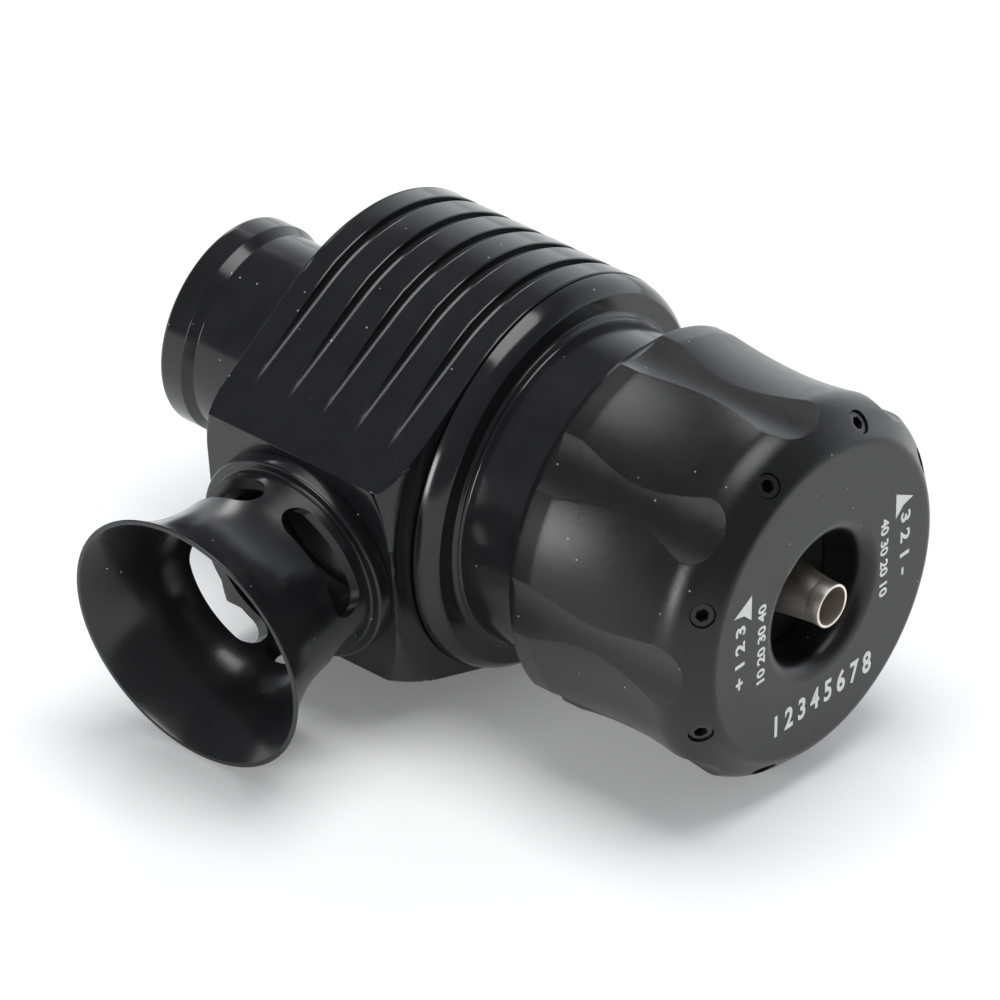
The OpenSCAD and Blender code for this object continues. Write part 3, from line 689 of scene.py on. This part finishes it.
# Each eighth of the knob has 90 columns of points, and two of them are led along the flute's edges
eighth_columns = 90
edge_column = 22
middle_column = eighth_columns // 2
knob = turned("knob_milled", knob_outline, 8 * eighth_columns)
eighth = math.pi / 4
column_step = eighth / eighth_columns
flute_floor = flute_centre_r - flute_r
skin_r = 20.6
least_opening = math.radians(1.2)
opening_fade = 1.5
crease_half = 0.06
crease_round = 0.02
for vertex in knob.data.vertices:
    radius = math.hypot(vertex.co.y, vertex.co.z) / mm
    if radius < skin_r:
        continue
    turn = math.atan2(vertex.co.z, vertex.co.y)
    off = (turn - first_screw) % eighth - eighth / 2
    column = abs(round(off / column_step))
    spread = (radius ** 2 + flute_centre_r ** 2 - flute_r ** 2) / (2 * radius * flute_centre_r)
    opening = max(math.acos(min(spread, 1)), least_opening)
    if radius < flute_floor:
        rest = min((flute_floor - radius) / opening_fade, 1)
        opening = least_opening * (1 - rest) + edge_column * column_step * rest
    crease = crease_half / radius
    if column < edge_column:
        side = (opening - crease) * column / (edge_column - 1)
    elif column == edge_column:
        side = opening
    else:
        start = opening + crease
        along = (column - edge_column - 1) / (middle_column - edge_column - 1)
        side = start + (eighth / 2 - start) * along
    beyond = flute_r ** 2 - (flute_centre_r * math.sin(side)) ** 2
    if beyond > 0:
        flute = flute_centre_r * math.cos(side) - math.sqrt(beyond)
        radius = soft_min(radius, flute, crease_round)
    turn += math.copysign(side, off) - off
    vertex.co.y = radius * math.cos(turn) * mm
    vertex.co.z = radius * math.sin(turn) * mm

screw_r = 1.5
screw_len = 4.0
screw_setback = 1.7
screw_place = Vector((knob_face - screw_setback, 0, face_r + screw_setback))
screw_spots = []
for index in range(8):
    turn = first_screw + index * eighth
    screw_spots.append(
        Matrix.Rotation(turn - math.pi / 2, 4, "X")
        @ Matrix.Translation(screw_place * mm)
        @ Matrix.Rotation(-math.pi / 4, 4, "Y")
    )
screw_hole = (screw_r + fit_clear, -screw_len - fit_clear, 1.0)
cut(knob, joined([bar(*screw_hole, spot, 40) for spot in screw_spots]))
knob.data.transform(lie_down)
smoothed(knob)
blasted_black = finish(
    "blasted_black_anodising", (0.009, 0.009, 0.0095), (0.014, 0.014, 0.0145),
    0.0, (0.2, 0.26), grain, 0.03, 0.5,
)
blasted_black.node_tree.nodes["Principled BSDF"].inputs["Specular IOR Level"].default_value = 0.38
knob.data.materials.append(blasted_black)
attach(knob, "knob")
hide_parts("adjuster_knob")

# Knob screws
# Eight small headless steel screws with hexagon sockets, in black oxide. They are screwed into
# the cone behind the knob's face and stand a little below it.
screw_sunk = 0.3
screw_rim = 0.15
socket_half = 0.75
socket_floor = -2.0
screw = bar(screw_r, -screw_len, -screw_sunk, Matrix(), 40)
rim = screw.modifiers.new("rim", "BEVEL")
rim.width = screw_rim * mm
rim.segments = 3
rim.limit_method = "ANGLE"
rim.angle_limit = math.radians(60)
bpy.ops.object.modifier_apply(modifier=rim.name)
cut(screw, bar(socket_half / math.cos(math.pi / 6), socket_floor, 1.0, Matrix(), 6))
smoothed(screw)
black_oxide = finish(
    "black_oxide", (0.008, 0.008, 0.008), (0.016, 0.016, 0.017),
    0.0, (0.25, 0.36), grain, 0.003,
)
screw.data.materials.append(black_oxide)
for index, spot in enumerate(screw_spots):
    twin = screw.copy()
    twin.data = screw.data.copy()
    twin.name = f"knob_screw_{index + 1}"
    twin.data.name = twin.name
    bpy.context.scene.collection.objects.link(twin)
    twin.data.transform(lie_down @ spot)
    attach(twin, "knob")
    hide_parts("knob_screws")
bpy.data.objects.remove(screw)

# Vacuum nipple
# Tapered tube for the vacuum hose, turned from brass and plated in satin nickel. It is screwed
# into the boss of the preload carrier, in the middle of the knob's recess.
nipple_bore_r = 2.4
nipple_thread_r = 2.9
nipple_foot_r = 3.4
nipple_r = 2.75
nipple_start = 76.95
nipple_foot = 82.05
taper_start = 82.85
taper_end = 87.8
nipple_tip = 89.8
nipple_outline = softened(
    [(nipple_bore_r, nipple_start, 0), (nipple_thread_r, nipple_start, 0)]
    + [(nipple_thread_r, nipple_foot, 0), (nipple_foot_r, nipple_foot, 0)]
    + [(nipple_foot_r, taper_start, 0.15), (nipple_r, taper_end, 0.6)]
    + [(nipple_r, nipple_tip, 0.14), (nipple_bore_r, nipple_tip, 0.1)]
)
nipple = turned("vacuum_nipple_turned", nipple_outline, 96)
nipple.data.transform(lie_down)
smoothed(nipple)
nickel = finish(
    "satin_nickel", (0.96, 0.91, 0.84), (0.66, 0.61, 0.54),
    1.0, (0.3, 0.5), grain, 0.03, 0.4,
)
nipple.data.materials.append(nickel)
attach(nipple, "preload")
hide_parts("vacuum_nipple")

# Dial print
# White marks printed on the knob's face: an arrowhead and two rows of numbers at each side, for
# the way to more and to less preload, and one row of numbers below the recess.
print_turn = math.radians(-6.3)
print_height = 0.015
on_face = Matrix(((0, 0, 1, 0), (1, 0, 0, 0), (0, 1, 0, 0), (0, 0, 0, 1)))
on_face = Matrix.Translation((knob_face * mm, 0, 0)) @ on_face
on_face = lie_down @ Matrix.Rotation(print_turn, 4, "X") @ on_face


def row(text, length, height, middle, turn):
    # A row of numbers, stretched to its length and height, turned and put in its place
    bpy.ops.object.select_all(action="DESELECT")
    bpy.ops.object.text_add()
    letters = bpy.context.object
    letters.data.body = text
    letters.data.extrude = 0.01
    letters.data.offset = 0.03
    bpy.ops.object.convert(target="MESH")
    letters = bpy.context.object
    spread = [vertex.co.copy() for vertex in letters.data.vertices]
    low = Vector(min(point[axis] for point in spread) for axis in range(3))
    high = Vector(max(point[axis] for point in spread) for axis in range(3))
    for vertex in letters.data.vertices:
        part = vertex.co - (low + high) / 2
        vertex.co.x = part.x / (high.x - low.x) * length * mm
        vertex.co.y = part.y / (high.y - low.y) * height * mm
        vertex.co.z = part.z / (high.z - low.z) * 2 * print_height * mm
    spot = Matrix.Translation((middle[0] * mm, middle[1] * mm, 0)) @ Matrix.Rotation(turn, 4, "Z")
    letters.data.transform(on_face @ spot)
    return letters


def arrowhead(side):
    # An arrowhead that points up and in, at one side of the face
    corners = [(-13.4, 8.05), (-16.6, 6.3), (-14.8, 5.9), (-13.4, 4.6)]
    bpy.ops.object.select_all(action="DESELECT")
    bpy.ops.mesh.primitive_circle_add(vertices=4, radius=1, fill_type="NGON")
    head = bpy.context.object
    for vertex, (across, up) in zip(head.data.vertices, corners):
        vertex.co = Vector((across * side * mm, up * mm, -print_height * mm))
    bpy.ops.object.mode_set(mode="EDIT")
    bpy.ops.mesh.select_all(action="SELECT")
    bpy.ops.mesh.extrude_region_move(TRANSFORM_OT_translate={"value": (0, 0, 2 * print_height * mm)})
    bpy.ops.object.mode_set(mode="OBJECT")
    head.data.transform(on_face)
    return head


quarter = math.pi / 2
outer_length = 8.9
outer_height = 1.75
inner_length = 11.0
inner_height = 1.45
face_print = joined(
    [arrowhead(1), arrowhead(-1)]
    + [row("+ 1 2 3", outer_length, outer_height, (-15.35, 0.2), quarter)]
    + [row("10 20 30 40", inner_length, inner_height, (-11.4, 0.15), quarter)]
    + [row("3 2 1 -", outer_length, outer_height, (15.3, 0.3), -quarter)]
    + [row("40 30 20 10", inner_length, inner_height, (11.4, 0.2), -quarter)]
    + [row("1 2 3 4 5 6 7 8", 18.0, 3.1, (0.5, -13.3), 0)]
)
bpy.ops.object.mode_set(mode="EDIT")
bpy.ops.mesh.select_all(action="SELECT")
bpy.ops.mesh.remove_doubles(threshold=0.001 * mm)
bpy.ops.mesh.normals_make_consistent(inside=False)
bpy.ops.object.mode_set(mode="OBJECT")
face_print.name = "face_print"
face_print.data.name = "face_print"
face_print.data.materials.clear()
print_white = finish(
    "print_white", (0.95, 0.95, 0.94), (0.88, 0.88, 0.87),
    0.0, (0.45, 0.6), grain, 0.004,
)
face_print.data.materials.append(print_white)
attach(face_print, "knob")

# Parts inside
# Seals, piston, carrier and small fittings keep their solids, seated in the bores and grooves of
# the pieces round them. Each takes the finish of its material.
rubber = finish(
    "moulded_rubber", (0.012, 0.012, 0.012), (0.022, 0.022, 0.022),
    0.0, (0.5, 0.65), grain, 0.006, 0.3,
)
steel = finish(
    "ground_steel", (0.55, 0.55, 0.56), (0.42, 0.42, 0.43),
    1.0, (0.25, 0.38), turning, 0.002,
)
aluminium = finish(
    "turned_aluminium", (0.7, 0.7, 0.72), (0.58, 0.58, 0.6),
    1.0, (0.28, 0.4), turning, 0.003,
)
white_ptfe = finish(
    "moulded_ptfe", (0.85, 0.83, 0.78), (0.76, 0.74, 0.69),
    0.0, (0.4, 0.55), grain, 0.003,
)
bronze = finish(
    "turned_bronze", (0.62, 0.45, 0.25), (0.5, 0.34, 0.18),
    1.0, (0.3, 0.42), turning, 0.003,
)
finishes = {
    "black_anodised": gloss_black,
    "black_blasted": blasted_black,
    "black_steel": black_oxide,
    "nickel": nickel,
    "rubber": rubber,
    "steel": steel,
    "bare_aluminium": aluminium,
    "ptfe": white_ptfe,
    "bronze": bronze,
}
for part in frame["record"]["subparts"]:
    for slot in frame["nodes"][part["node"]].material_slots:
        slot.material = finishes[part["material_slot"]]

# Main spring
# Ground steel coil between the piston and the preload carrier, loose between its two seats.
# It is cut across its middle into a back half and a front half.
spring_low, spring_high = (corner[0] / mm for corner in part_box("main_spring"))
spring_middle = (spring_low + spring_high) / 2
spring_cut_r = 13.0
spring_halves = [
    ("main_spring_back", spring_middle, spring_high + 1, "piston", "valve", spring_low, spring_middle),
    ("main_spring_front", spring_low - 1, spring_middle, "valve", "preload", spring_middle, spring_high),
]
for name, cut_from, cut_to, back_body, front_body, start, end in spring_halves:
    half = bpy.data.objects.new(name, frame["nodes"]["main_spring"].data.copy())
    bpy.context.scene.collection.objects.link(half)
    half.data.name = name
    cut(half, bar(spring_cut_r, cut_from, cut_to, Matrix(), 48))
    smoothed(half)
    half.data.materials.clear()
    half.data.materials.append(steel)
    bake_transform(half)
    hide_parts("main_spring")
